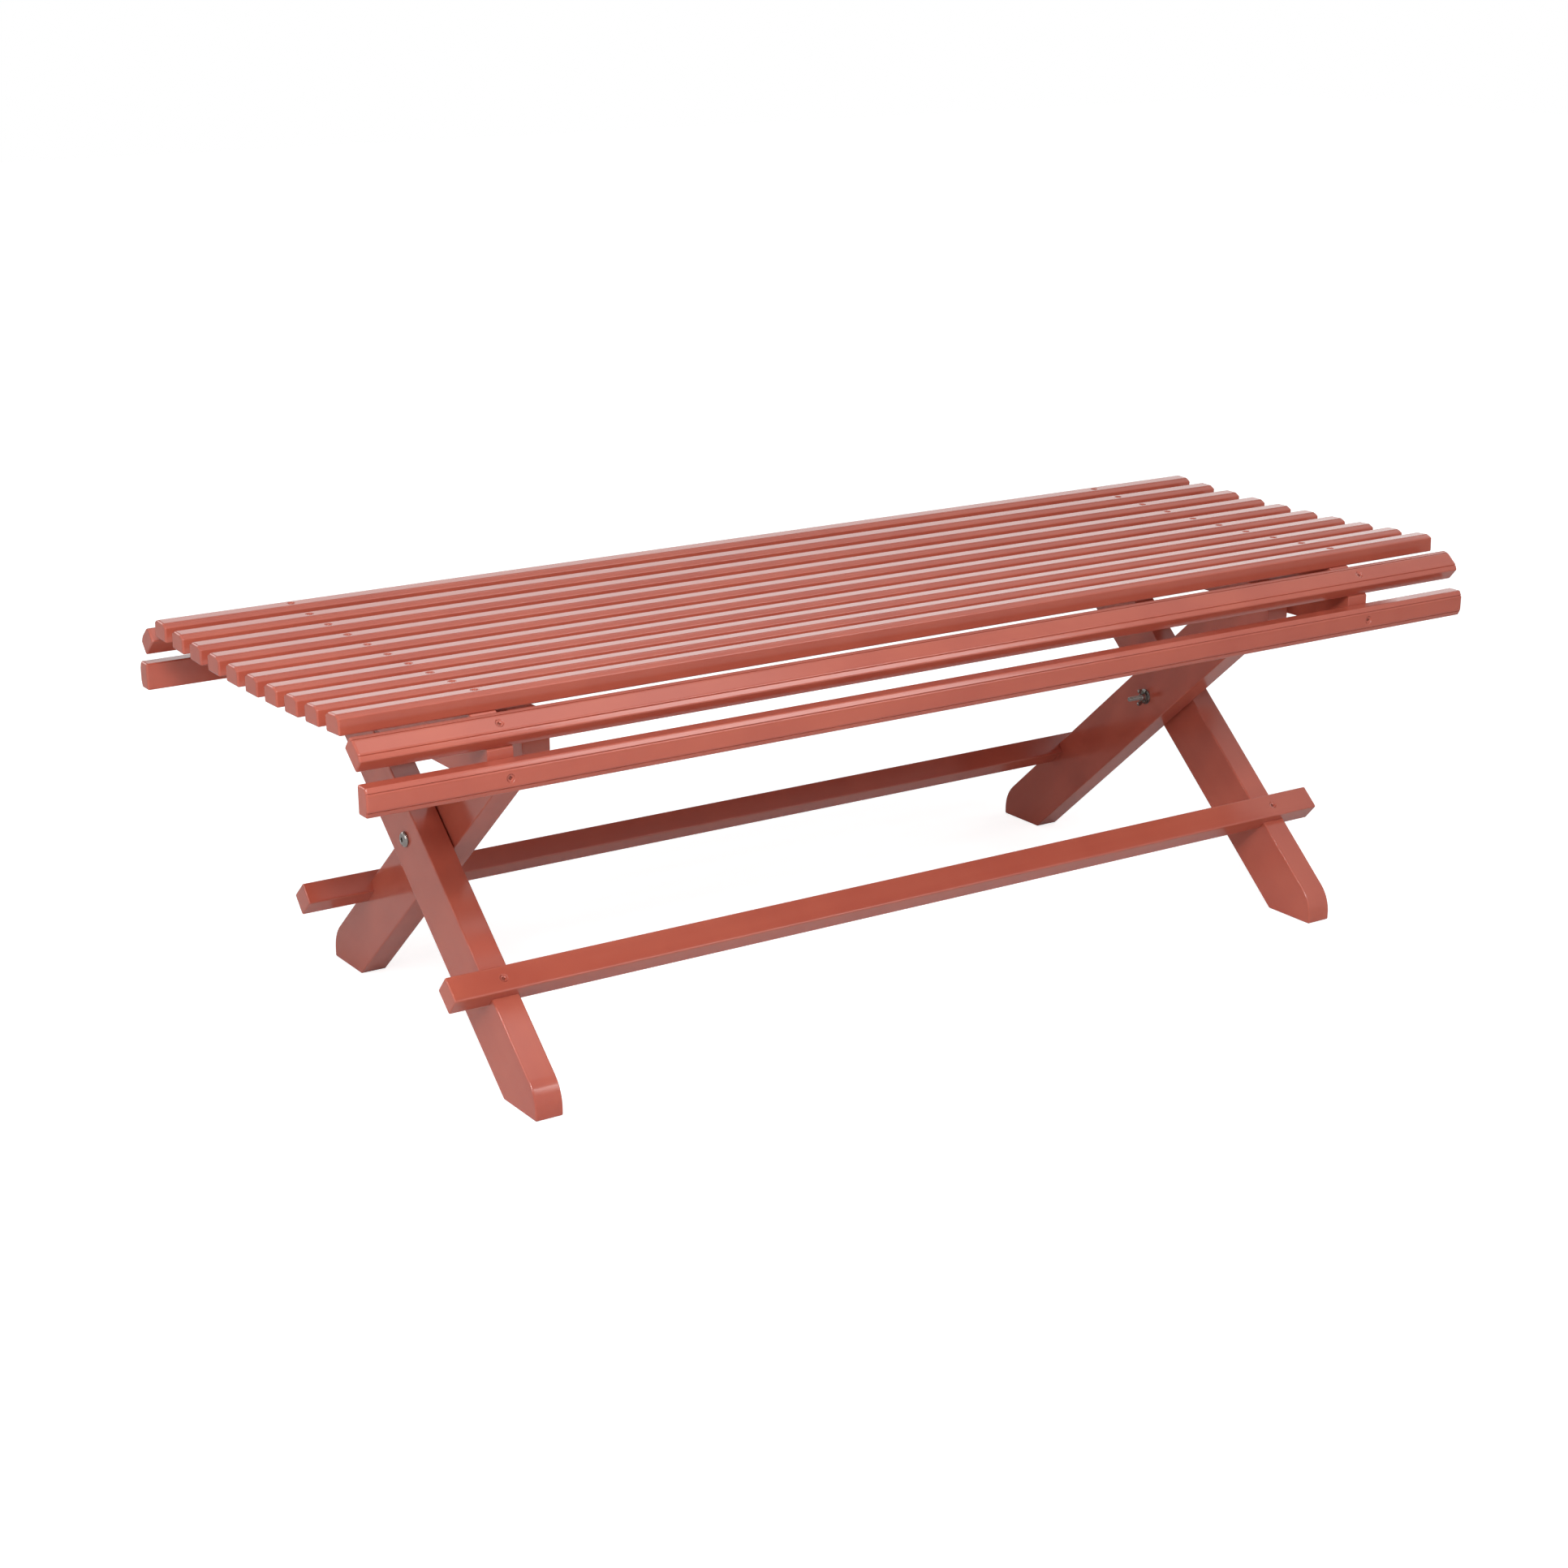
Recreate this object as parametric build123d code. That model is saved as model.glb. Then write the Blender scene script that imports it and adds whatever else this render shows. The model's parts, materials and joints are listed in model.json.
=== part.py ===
from build123d import *
from math import atan2, cos, degrees, radians, sin, sqrt, tan
import os

# Folding bench: a dished seat of moulded slats on two bearers, and two pairs of crossed legs
# that hinge under the seat and are bolted together where they cross.
# X runs along the bench, -Y is the front, +Z is up; the floor is z = 0 under the seat's middle.

# ---- Driving dimensions, in mm ---------------------------------------------------------

# Slats
bench_length = 1500.0
slat_width = 31.0
slat_thickness = 21.0
slat_gap = 19.5
slat_count = 10
crown_width = 19.0        # flat middle of the moulded face
quirk_depth = 0.8         # step down at each side of the crown
ovolo_drop = 4.5          # fall of the rounded shoulder from the quirk to the side
slat_arris = 1.5          # rounding of the lower edges and of the ends

# Seat
seat_mid_height = 456.0   # top of the seat at its lowest point
dish_radius = 4222.0      # hollow of the seat from front to back

# Bearers under the slats
bearer_thickness = 30.0
bearer_inset = 144.0      # from the slat ends to a bearer's outer face
chamfer_angle = 40.0
angled_slat_above = 13.5  # chamfer left bare above the angled slat
angled_slat_below = 2.0   # and below it
vertical_slat_drop = 10.0  # from the chamfer's lower corner to the vertical slat
vertical_slat_lip = 1.0   # vertical slat below the bearer's lower edge
bearer_arris = 2.0

# Legs
leg_width = 70.0
leg_thickness = 33.0
crossing_height = 236.0
hinge_span = 194.0        # from the seat's middle to each hinge bolt, across the bench
hinge_rise = 35.0         # hinge bolts above the bearer's lower edge
leg_tip_reach = 24.0      # leg past its hinge bolt, outwards
leg_tip_rise = 16.0       # leg above its hinge bolt
leg_tip_radius = 12.0
sole_length = 72.5        # from the heel to the vertical cut of the toe
toe_radius = 45.0
leg_arris = 1.5
bearer_gap = 7.0          # between bearer and outer leg
layer_gap = 2.0           # between outer leg and inner leg

# Stretchers between the legs
stretcher_width = 31.0     # along the leg
stretcher_depth = 26.5     # across the leg
stretcher_let_in = 13.0    # depth of the notch in the leg
stretcher_along = 215.5    # from the crossing down the leg
stretcher_overhang = 11.0  # past the bearer's outer face
stretcher_arris = 2.0

# Bolts, nuts and washers
bolt_diameter = 6.0
bolt_head_diameter = 18.0
bolt_head_height = 4.6
bolt_head_rim = 1.0
hex_socket = 4.0
hex_socket_depth = 2.6
washer_diameter = 20.0
washer_thickness = 1.6
nut_width = 10.0
nut_height = 6.0
bolt_past_nut = 2.0
crossing_bolt_reach = 28.0  # threaded end past the inner leg
wing_span = 22.0
wing_height = 11.0
wing_thickness = 2.4
wing_hub_diameter = 10.5
wing_hub_height = 7.0

# Wood screws
screw_diameter = 4.5
screw_head_diameter = 9.0
screw_bite = 27.0           # into the bearer or the leg
recess_length = 4.0
recess_width = 0.9
recess_depth = 1.4

# Clearances
running_clearance = 0.08    # radial, between a turning piece and its bolt
fit_clearance = 0.10        # radial, in the bore of a fixed piece
side_clearance = 0.30       # between faces that slide past each other

# ---- Derived sizes and places ----------------------------------------------------------

slat_pitch = slat_width + slat_gap
slat_bottom_mid = seat_mid_height - slat_thickness


def seat_station(index):
    """Place of one seat slat: y and z of the middle of its underside, and its tilt in radians."""
    y = (index - (slat_count - 1) / 2) * slat_pitch
    z = slat_bottom_mid + dish_radius - sqrt(dish_radius**2 - y**2)
    return y, z, atan2(y, sqrt(dish_radius**2 - y**2))


# The chamfer starts under the edge of the outermost seat slat and carries the angled slat.
last_y, last_z, last_tilt = seat_station(slat_count - 1)
chamfer_top_y = last_y + slat_width / 2 * cos(last_tilt)
chamfer_top_z = last_z + slat_width / 2 * sin(last_tilt)
chamfer_length = angled_slat_above + slat_width + angled_slat_below
chamfer_cos = cos(radians(chamfer_angle))
chamfer_sin = sin(radians(chamfer_angle))
bearer_half = chamfer_top_y + chamfer_length * chamfer_cos
bearer_corner_z = chamfer_top_z - chamfer_length * chamfer_sin
angled_slat_middle = angled_slat_above + slat_width / 2
angled_slat_y = chamfer_top_y + angled_slat_middle * chamfer_cos
angled_slat_z = chamfer_top_z - angled_slat_middle * chamfer_sin
vertical_slat_z = bearer_corner_z - vertical_slat_drop - slat_width / 2
bearer_bottom_z = vertical_slat_z - slat_width / 2 + vertical_slat_lip

# Layers along X on the right-hand side, from the bearer inwards.
bearer_outer_x = bench_length / 2 - bearer_inset
bearer_inner_x = bearer_outer_x - bearer_thickness
outer_leg_outer_x = bearer_inner_x - bearer_gap
outer_leg_inner_x = outer_leg_outer_x - leg_thickness
inner_leg_outer_x = outer_leg_inner_x - layer_gap
inner_leg_inner_x = inner_leg_outer_x - leg_thickness
bearer_middle_x = bearer_outer_x - bearer_thickness / 2
outer_leg_middle_x = outer_leg_outer_x - leg_thickness / 2
inner_leg_middle_x = inner_leg_outer_x - leg_thickness / 2

# Each leg is a straight bar from its foot over the crossing to its hinge bolt.
hinge_z = bearer_bottom_z + hinge_rise
leg_slope = (hinge_z - crossing_height) / hinge_span
leg_angle = atan2(hinge_z - crossing_height, hinge_span)
leg_half_rise = leg_width / 2 / cos(leg_angle)
stretcher_out = leg_width / 2 - stretcher_let_in + stretcher_depth / 2
stretcher_length = 2 * (bearer_outer_x + stretcher_overhang)

bolt_radius = bolt_diameter / 2
running_bore = bolt_radius + running_clearance
fixed_bore = bolt_radius + fit_clearance

outwards = Rot(Y=90)    # turns a piece built up Z to point along +X
inwards = Rot(Y=-90)    # and along -X


# ---- Wood screws -----------------------------------------------------------------------

def screw_body(length, clearance):
    """Countersunk screw under the origin, grown by a clearance all round."""
    head = screw_head_diameter / 2 + clearance
    shank = screw_diameter / 2 + clearance
    tip = length + clearance
    outline = Polyline(
        (0, 0), (head, 0), (shank, shank - head), (shank, screw_diameter - tip), (0, -tip), close=True
    )
    return revolve(Plane.XZ * make_face(outline), Axis.Z)


def screw(length):
    """Countersunk screw with its flat head at the origin, a cross recess and its point down Z."""
    slot = Box(recess_length, recess_width, 2 * recess_depth)
    return screw_body(length, 0) - slot - Rot(Z=90) * slot


slat_screw_length = slat_thickness + screw_bite
stretcher_screw_length = stretcher_depth + screw_bite

# ---- Slats -----------------------------------------------------------------------------

def slat_profile():
    """Section of a slat: flat crown, a quirk at each side of it and a rounded shoulder to the side."""
    half = slat_width / 2
    crown = crown_width / 2
    quirk_z = slat_thickness - quirk_depth
    shoulder_z = quirk_z - ovolo_drop
    belly = (crown + (half - crown) * sqrt(0.5), shoulder_z + ovolo_drop * sqrt(0.5))
    right = [
        Line((half, 0), (half, shoulder_z)),
        ThreePointArc((half, shoulder_z), belly, (crown, quirk_z)),
        Line((crown, quirk_z), (crown, slat_thickness)),
    ]
    left = [mirror(edge, about=Plane.YZ) for edge in right]
    crown_line = Line((-crown, slat_thickness), (crown, slat_thickness))
    base_line = Line((-half, 0), (half, 0))
    section = make_face([*right, *left, crown_line, base_line])
    return fillet(section.vertices().sort_by(Axis.Y)[:2], slat_arris)


def plain_slat():
    """A slat along X with its underside on z = 0, eased at both ends."""
    bar = extrude(Plane.YZ * slat_profile(), bench_length / 2, both=True)
    envelope = Box(bench_length, slat_width, slat_thickness, align=(Align.CENTER, Align.CENTER, Align.MIN))
    envelope = fillet(envelope.faces().filter_by(Axis.X).edges(), slat_arris)
    return bar & envelope


slat_places = {}
for index in range(slat_count):
    y, z, tilt = seat_station(index)
    slat_places[f"slat_top_{index + 1:02d}"] = Pos(0, y, z) * Rot(X=degrees(tilt))
for name, side in (("front", -1), ("back", 1)):
    angled = Pos(0, side * angled_slat_y, angled_slat_z) * Rot(X=-side * chamfer_angle)
    vertical = Pos(0, side * bearer_half, vertical_slat_z) * Rot(X=-side * 90)
    slat_places[f"slat_angled_{name}"] = angled
    slat_places[f"slat_vertical_{name}"] = vertical

slat_screw_spots = [Pos(side * bearer_middle_x, 0, slat_thickness) for side in (-1, 1)]
drilled_slat = plain_slat()
for spot in slat_screw_spots:
    drilled_slat -= spot * screw_body(slat_screw_length, fit_clearance)

slats = {name: place * drilled_slat for name, place in slat_places.items()}
slat_screws = [
    place * spot * screw(slat_screw_length) for place in slat_places.values() for spot in slat_screw_spots
]

# ---- Bearers ---------------------------------------------------------------------------

def bearer_outline():
    """Side view of a bearer: a flat under each seat slat, and a chamfer at each end."""
    crest = []
    for index in range(slat_count):
        y, z, tilt = seat_station(index)
        for reach in (-slat_width / 2, slat_width / 2):
            crest.append((y + reach * cos(tilt), z + reach * sin(tilt)))
    back_end = [(bearer_half, bearer_corner_z), (bearer_half, bearer_bottom_z)]
    front_end = [(-bearer_half, bearer_bottom_z), (-bearer_half, bearer_corner_z)]
    return make_face(Polyline(*crest, *back_end, *front_end, close=True))


def right_bearer():
    """The right-hand bearer with its screw and bolt holes."""
    bearer = extrude(Plane.YZ.offset(bearer_inner_x) * bearer_outline(), bearer_thickness)
    bearer = fillet(bearer.edges().filter_by(Axis.Y).sort_by(Axis.Z)[:2], bearer_arris)
    for place in slat_places.values():
        bearer -= place * slat_screw_spots[1] * screw_body(slat_screw_length, fit_clearance)
    for y in (-hinge_span, hinge_span):
        bearer -= Pos(bearer_middle_x, y, hinge_z) * outwards * Cylinder(fixed_bore, 2 * bearer_thickness)
    return bearer


# ---- Bolts, nuts and washers -----------------------------------------------------------

def ring(outer_radius, bore_radius, length):
    """Washer or sleeve from the origin down Z."""
    stack = (Align.CENTER, Align.CENTER, Align.MAX)
    return Cylinder(outer_radius, length, align=stack) - Cylinder(bore_radius, 3 * length)


def bolt(length):
    """Domed bolt with a hexagon socket: head over the origin, plain shank down Z."""
    head_radius = bolt_head_diameter / 2
    crown_radius = head_radius * 0.4
    shoulder = (head_radius * 0.82, bolt_head_rim + (bolt_head_height - bolt_head_rim) * 0.62)
    dome = make_face([
        Line((0, 0), (head_radius, 0)),
        Line((head_radius, 0), (head_radius, bolt_head_rim)),
        ThreePointArc((head_radius, bolt_head_rim), shoulder, (crown_radius, bolt_head_height)),
        Line((crown_radius, bolt_head_height), (0, bolt_head_height)),
        Line((0, bolt_head_height), (0, 0)),
    ])
    head = revolve(Plane.XZ * dome, Axis.Z)
    socket = extrude(RegularPolygon(hex_socket / 2, 6, major_radius=False), hex_socket_depth)
    head -= Pos(0, 0, bolt_head_height - hex_socket_depth) * socket
    return head + Cylinder(bolt_radius, length, align=(Align.CENTER, Align.CENTER, Align.MAX))


def hex_nut():
    """Hexagon nut from the origin down Z."""
    blank = extrude(RegularPolygon(nut_width / 2, 6, major_radius=False), -nut_height)
    return blank - Cylinder(fixed_bore, 3 * nut_height)


def wing_nut():
    """Wing nut standing on the origin, its wings along X."""
    hub = Cone(wing_hub_diameter / 2, wing_hub_diameter * 0.4, wing_hub_height,
               align=(Align.CENTER, Align.CENTER, Align.MIN))
    tip = wing_span / 2
    root = bolt_radius + (wing_hub_diameter / 2 - bolt_radius) / 2
    wing = make_face(Polyline(
        (root, wing_height * 0.08), (tip * 0.6, wing_height * 0.12), (tip, wing_height * 0.55),
        (tip, wing_height), (tip * 0.62, wing_height), (root, wing_height * 0.55), close=True,
    ))
    wing = fillet(wing.vertices().group_by(Axis.Y)[-1], tip * 0.17)
    blade = extrude(Plane.XZ * wing, wing_thickness / 2, both=True)
    body = hub + blade + mirror(blade, about=Plane.YZ)
    return body - Cylinder(running_bore, 4 * wing_height)


def hinge_set(side, leg_inner_x):
    """Bolt, sleeve, washer and nut of one hinge; side is the sign of y, leg_inner_x the leg's inner face."""
    leg_outer_x = leg_inner_x + leg_thickness
    washer_x = leg_inner_x - side_clearance
    nut_x = washer_x - washer_thickness
    length = bearer_outer_x - nut_x + nut_height + bolt_past_nut
    sleeve_length = bearer_inner_x - leg_outer_x - side_clearance
    washer = ring(washer_diameter / 2, fixed_bore, washer_thickness)
    pieces = {
        "hinge_bolts": (bearer_outer_x, bolt(length)),
        "hinge_sleeves": (bearer_inner_x, ring(washer_diameter / 2, fixed_bore, sleeve_length)),
        "hinge_washers": (washer_x, washer),
        "hinge_nuts": (nut_x, hex_nut()),
    }
    return {
        name: Pos(x, side * hinge_span, hinge_z) * outwards * piece for name, (x, piece) in pieces.items()
    }


# ---- Legs and stretchers ---------------------------------------------------------------

def leg_outline():
    """Side view of a leg with its foot at the front and its hinge at the back."""
    def lower_edge(y):
        return crossing_height - leg_half_rise + y * leg_slope

    def upper_edge(y):
        return crossing_height + leg_half_rise + y * leg_slope

    heel_y = (leg_half_rise - crossing_height) / leg_slope
    tip_y = hinge_span + leg_tip_reach
    tip_z = hinge_z + leg_tip_rise
    shoulder_y = (tip_z - upper_edge(0)) / leg_slope
    toe_y = heel_y - sole_length
    toe = (toe_y, upper_edge(toe_y))
    shoulder = (shoulder_y, tip_z)
    outline = make_face(Polyline(
        (heel_y, 0), (toe_y, 0), toe, shoulder, (tip_y, tip_z), (tip_y, lower_edge(tip_y)), close=True
    ))
    turn = 90 - degrees(leg_angle)
    toe_round = min(toe_radius, 0.9 * toe[1] / tan(radians(turn / 2)))
    outline = fillet(outline.vertices().sort_by_distance((*toe, 0))[0], toe_round)
    return fillet(outline.vertices().sort_by_distance((*shoulder, 0))[0], leg_tip_radius)


def along_leg(distance, out):
    """Place on a leg's plane: distance down from the crossing, out towards its upper edge."""
    return Pos(0, 0, crossing_height) * Rot(X=degrees(leg_angle)) * Pos(0, -distance, out)


def stretcher_bar():
    """Stretcher of the legs with their feet at the front, eased on every edge."""
    bar = Box(stretcher_length, stretcher_width, stretcher_depth)
    return along_leg(stretcher_along, stretcher_out) * fillet(bar.edges(), stretcher_arris)


def stretcher_screw_place(x):
    """Head of the screw that holds a stretcher to the leg at x."""
    return Pos(x, 0, 0) * along_leg(stretcher_along, stretcher_out + stretcher_depth / 2)


def front_footed_leg(middle_x):
    """Leg at middle_x with its foot at the front: notched, drilled and eased."""
    leg = extrude(Plane.YZ * leg_outline(), leg_thickness / 2, both=True)
    leg = fillet(leg.faces().filter_by(Axis.X).edges(), leg_arris)
    notch = Box(2 * leg_thickness, stretcher_width, stretcher_depth)
    leg -= along_leg(stretcher_along, stretcher_out) * notch
    leg -= Pos(0, hinge_span, hinge_z) * outwards * Cylinder(running_bore, 2 * leg_thickness)
    leg -= Pos(0, 0, crossing_height) * outwards * Cylinder(fixed_bore, 2 * leg_thickness)
    leg -= stretcher_screw_place(0) * screw_body(stretcher_screw_length, fit_clearance)
    return Pos(middle_x, 0, 0) * leg


def drilled_stretcher(leg_middle_x):
    """Stretcher with a countersunk hole at each leg."""
    bar = stretcher_bar()
    for side in (-1, 1):
        bar -= stretcher_screw_place(side * leg_middle_x) * screw_body(stretcher_screw_length, fit_clearance)
    return bar


def stretcher_screw(x):
    """Screw through a stretcher into the leg at x."""
    return stretcher_screw_place(x) * screw(stretcher_screw_length)


# ---- Nodes -----------------------------------------------------------------------------

def both_sides(piece):
    """A right-hand piece and its mirror image on the left."""
    return [mirror(piece, about=Plane.YZ), piece]


def turned(pieces):
    """Pieces of the front-footed legs turned into pieces of the back-footed legs."""
    return [mirror(piece, about=Plane.XZ) for piece in pieces]


nodes = {name: [slat] for name, slat in slats.items()}
nodes["slat_screws"] = slat_screws

bearers = both_sides(right_bearer())
nodes["bearer_left"] = [bearers[0]]
nodes["bearer_right"] = [bearers[1]]

for hinge in (hinge_set(1, outer_leg_inner_x), hinge_set(-1, inner_leg_inner_x)):
    for name, piece in hinge.items():
        nodes.setdefault(name, []).extend(both_sides(piece))

outer_legs = both_sides(front_footed_leg(outer_leg_middle_x))
inner_legs = turned(both_sides(front_footed_leg(inner_leg_middle_x)))
nodes["outer_leg_left"] = [outer_legs[0]]
nodes["outer_leg_right"] = [outer_legs[1]]
nodes["inner_leg_left"] = [inner_legs[0]]
nodes["inner_leg_right"] = [inner_legs[1]]

nodes["stretcher_front"] = [drilled_stretcher(outer_leg_middle_x)]
nodes["stretcher_rear"] = turned([drilled_stretcher(inner_leg_middle_x)])
nodes["stretcher_screws_front"] = both_sides(stretcher_screw(outer_leg_middle_x))
nodes["stretcher_screws_rear"] = turned(both_sides(stretcher_screw(inner_leg_middle_x)))

# Each crossing bolt is parted where the two legs face each other: the head stays in the outer
# leg with the spacer, the threaded end in the inner leg with the washer and the wing nut.
crossing_spacer_length = layer_gap - side_clearance
crossing_head_length = leg_thickness + crossing_spacer_length
thread_length = leg_thickness + crossing_bolt_reach
wing_nut_x = inner_leg_inner_x - washer_thickness - side_clearance


def at_crossing(x, piece):
    """A piece built along Z, set on the crossing axis at x."""
    return Pos(x, 0, crossing_height) * outwards * piece


down = (Align.CENTER, Align.CENTER, Align.MAX)
bolt_ends = both_sides(at_crossing(inner_leg_outer_x, Cylinder(bolt_radius, thread_length, align=down)))
spacer = ring(washer_diameter / 2, fixed_bore, crossing_spacer_length)
washer = ring(washer_diameter / 2, fixed_bore, washer_thickness)
nodes["crossing_bolt_heads"] = both_sides(at_crossing(outer_leg_outer_x, bolt(crossing_head_length)))
nodes["crossing_spacers"] = both_sides(at_crossing(outer_leg_inner_x, spacer))
nodes["crossing_bolt_ends"] = bolt_ends
nodes["crossing_washers"] = both_sides(at_crossing(inner_leg_inner_x, washer))

wing_nuts = both_sides(Pos(wing_nut_x, 0, crossing_height) * inwards * wing_nut())
nodes["wing_nut_left"] = [wing_nuts[0]]
nodes["wing_nut_right"] = [wing_nuts[1]]

os.makedirs("parts", exist_ok=True)
for name, pieces in nodes.items():
    solids = [solid for piece in pieces for solid in piece.solids()]
    export_step(Compound(solids) if len(solids) > 1 else solids[0], f"parts/{name}.step")
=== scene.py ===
# %% [markdown]
# # A folding garden bench
# A painted pine bench: slats with a moulded face, screwed to two bearers, on two pairs of crossed
# legs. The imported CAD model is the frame. It says where every piece is and which body it moves
# with. This lesson gives each piece the surface that a joiner and a painter would leave on it.

import json
import math

import bmesh
import bpy
import numpy as np
from mathutils import Matrix, Vector


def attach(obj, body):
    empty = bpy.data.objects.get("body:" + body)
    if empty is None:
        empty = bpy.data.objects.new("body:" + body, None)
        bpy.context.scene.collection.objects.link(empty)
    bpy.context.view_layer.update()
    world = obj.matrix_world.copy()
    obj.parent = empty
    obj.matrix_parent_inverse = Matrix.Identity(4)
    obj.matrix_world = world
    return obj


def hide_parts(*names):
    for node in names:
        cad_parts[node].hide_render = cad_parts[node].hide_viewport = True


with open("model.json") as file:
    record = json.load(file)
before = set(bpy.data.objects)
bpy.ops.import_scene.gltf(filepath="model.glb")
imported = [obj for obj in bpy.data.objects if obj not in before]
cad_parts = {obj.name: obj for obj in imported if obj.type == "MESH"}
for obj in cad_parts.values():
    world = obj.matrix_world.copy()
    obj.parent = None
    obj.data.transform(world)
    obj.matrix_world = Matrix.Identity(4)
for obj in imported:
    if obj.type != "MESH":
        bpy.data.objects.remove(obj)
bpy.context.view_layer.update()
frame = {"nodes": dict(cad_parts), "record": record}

# %% [markdown]
# ## Camera
# The camera stands at the front left, at the height of a sitting person's eyes, and looks down at
# the seat. It could be aimed with a constraint, but its place and angles are measured values, so
# its matrix is built from them. The lens is a little longer than normal, and the frame is shifted
# instead of tilted further, which is how a studio camera keeps a piece of furniture upright.

# %% Set up the camera
IMAGE_SIZE = 1932
FOCAL_PIXELS = 3423.6
VIEW_CENTRE_PIXELS = (901.5, 1097.9)
SENSOR_MM = 36
EYE = Vector((-1.8331, -2.6680, 1.2025))
YAW, PITCH, ROLL = 0.5654, 0.3381, -0.0070

flat = math.cos(PITCH)
forward = Vector((math.sin(YAW) * flat, math.cos(YAW) * flat, -math.sin(PITCH)))
level = Vector((math.cos(YAW), -math.sin(YAW), 0))
upright = level.cross(forward)
right = math.cos(ROLL) * level + math.sin(ROLL) * upright
up = math.cos(ROLL) * upright - math.sin(ROLL) * level

camera_data = bpy.data.cameras.new("view")
camera_data.sensor_width = SENSOR_MM
camera_data.lens = FOCAL_PIXELS / IMAGE_SIZE * SENSOR_MM
camera_data.shift_x = 0.5 - VIEW_CENTRE_PIXELS[0] / IMAGE_SIZE
camera_data.shift_y = VIEW_CENTRE_PIXELS[1] / IMAGE_SIZE - 0.5
camera = bpy.data.objects.new("view", camera_data)
turned_to = Matrix((right, up, -forward)).transposed().to_4x4()
camera.matrix_world = Matrix.Translation(EYE) @ turned_to
bpy.context.scene.collection.objects.link(camera)
bpy.context.scene.camera = camera
bpy.context.scene.view_settings.view_transform = "Standard"
print(f"lens {camera_data.lens:.1f} mm, {EYE.length:.2f} m from the bench's middle")

# %% [markdown]
# ## Helpers for materials
# Paint and metal colours are written the way a paint chart gives them, as sRGB hex. Blender's
# sockets want linear light, so one function converts. A second one clears a new material or world
# of Blender's default nodes, and a third adds a node with its settings and links. Nodes could be
# set one line at a time, but then the settings hide what is linked to what.

# %% Colour and node helpers
LARGER = {"operation": "MAXIMUM"}


def linear(hex_colour):
    """sRGB hex to linear RGBA: each channel c becomes ((c + 0.055) / 1.055) ** 2.4, or c / 12.92
    near black."""
    channels = [int(hex_colour[i : i + 2], 16) / 255 for i in (1, 3, 5)]
    light = [c / 12.92 if c <= 0.04045 else ((c + 0.055) / 1.055) ** 2.4 for c in channels]
    return light + [1.0]


def emptied(made):
    """The node tree of a new material or world, with nothing in it."""
    made.use_nodes = True
    made.node_tree.nodes.clear()
    return made.node_tree


def add(tree, kind, settings=None, **inputs):
    """Adds a node. Settings are its own options. Inputs are values or (node, output) links, by the
    socket's name or, after an underscore, by its number."""
    made = tree.nodes.new(kind)
    for name, value in (settings or {}).items():
        setattr(made, name, value)
    for name, value in inputs.items():
        socket = made.inputs[int(name[1:]) if name[0] == "_" else name.replace("_", " ")]
        if isinstance(value, tuple) and isinstance(value[0], bpy.types.Node):
            tree.links.new(value[0].outputs[value[1]], socket)
        else:
            socket.default_value = value
    return made


print("terracotta in linear light:", [round(c, 3) for c in linear("#b25946")])

# %% [markdown]
# ## Surroundings
# The bench stands in a white studio. A world that is white to every ray would do for the camera,
# but as a light it would wash out the faces under the seat. Light Path tells the rays apart, so
# the world shows white to the camera and in reflections and sends out little light of its own. The
# far side of the room is dimmer in reflections, or it would lay a lilac veil on every slat seen at
# a low angle.

# %% World
AMBIENT_LEVEL, FAR_SIDE_LEVEL = 0.16, 0.20
FAR_SIDE, FAR_SIDE_FROM, FAR_SIDE_FULL = (0.45, 0.89, 0.0), 0.6, 0.85


def studio_world():
    """White where it is seen, FAR_SIDE_LEVEL in reflections of its far side, and AMBIENT_LEVEL as a
    light. How far a direction points to the far side is its dot product with FAR_SIDE."""
    made = bpy.data.worlds.new("studio")
    tree = emptied(made)
    rays = add(tree, "ShaderNodeLightPath")
    seen = add(tree, "ShaderNodeMath", LARGER, _0=(rays, "Is Camera Ray"),
               _1=(rays, "Is Glossy Ray"))
    seen_any = add(tree, "ShaderNodeMath", LARGER, _0=(seen, 0), _1=(rays, "Is Transmission Ray"))
    toward = add(tree, "ShaderNodeTexCoord")
    far_side = add(tree, "ShaderNodeVectorMath", {"operation": "DOT_PRODUCT"},
                   _0=(toward, "Generated"), _1=FAR_SIDE)
    far_level = add(tree, "ShaderNodeMapRange", None, Value=(far_side, "Value"),
                    From_Min=FAR_SIDE_FROM, From_Max=FAR_SIDE_FULL,
                    To_Min=1.0, To_Max=FAR_SIDE_LEVEL)
    level_seen = add(tree, "ShaderNodeMath", LARGER, _0=(far_level, 0), _1=(rays, "Is Camera Ray"))
    level_of_light = add(tree, "ShaderNodeMix", None, Factor=(seen_any, 0), A=AMBIENT_LEVEL,
                         B=(level_seen, 0))
    backdrop = add(tree, "ShaderNodeBackground", None, Color=linear("#ffffff"),
                   Strength=(level_of_light, 0))
    add(tree, "ShaderNodeOutputWorld", None, Surface=(backdrop, 0))
    return made


bpy.context.scene.world = studio_world()
print("world: level", AMBIENT_LEVEL, "as a light,", FAR_SIDE_LEVEL, "in far reflections")

# %% [markdown]
# ## Floor
# A shadow catcher would keep only the shadow. A plain floor with some glow of its own is as
# simple, and the bench stands on it in every view. It looks white to the camera and keeps a soft
# shadow. It glows a little more with distance, as a studio floor gets lighter where it curves up
# into the wall, so no horizon shows. Other rays meet a dull pale grey, and reflections only a
# small share of the glow, so the glow itself doesn't light the bench from below.

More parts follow.
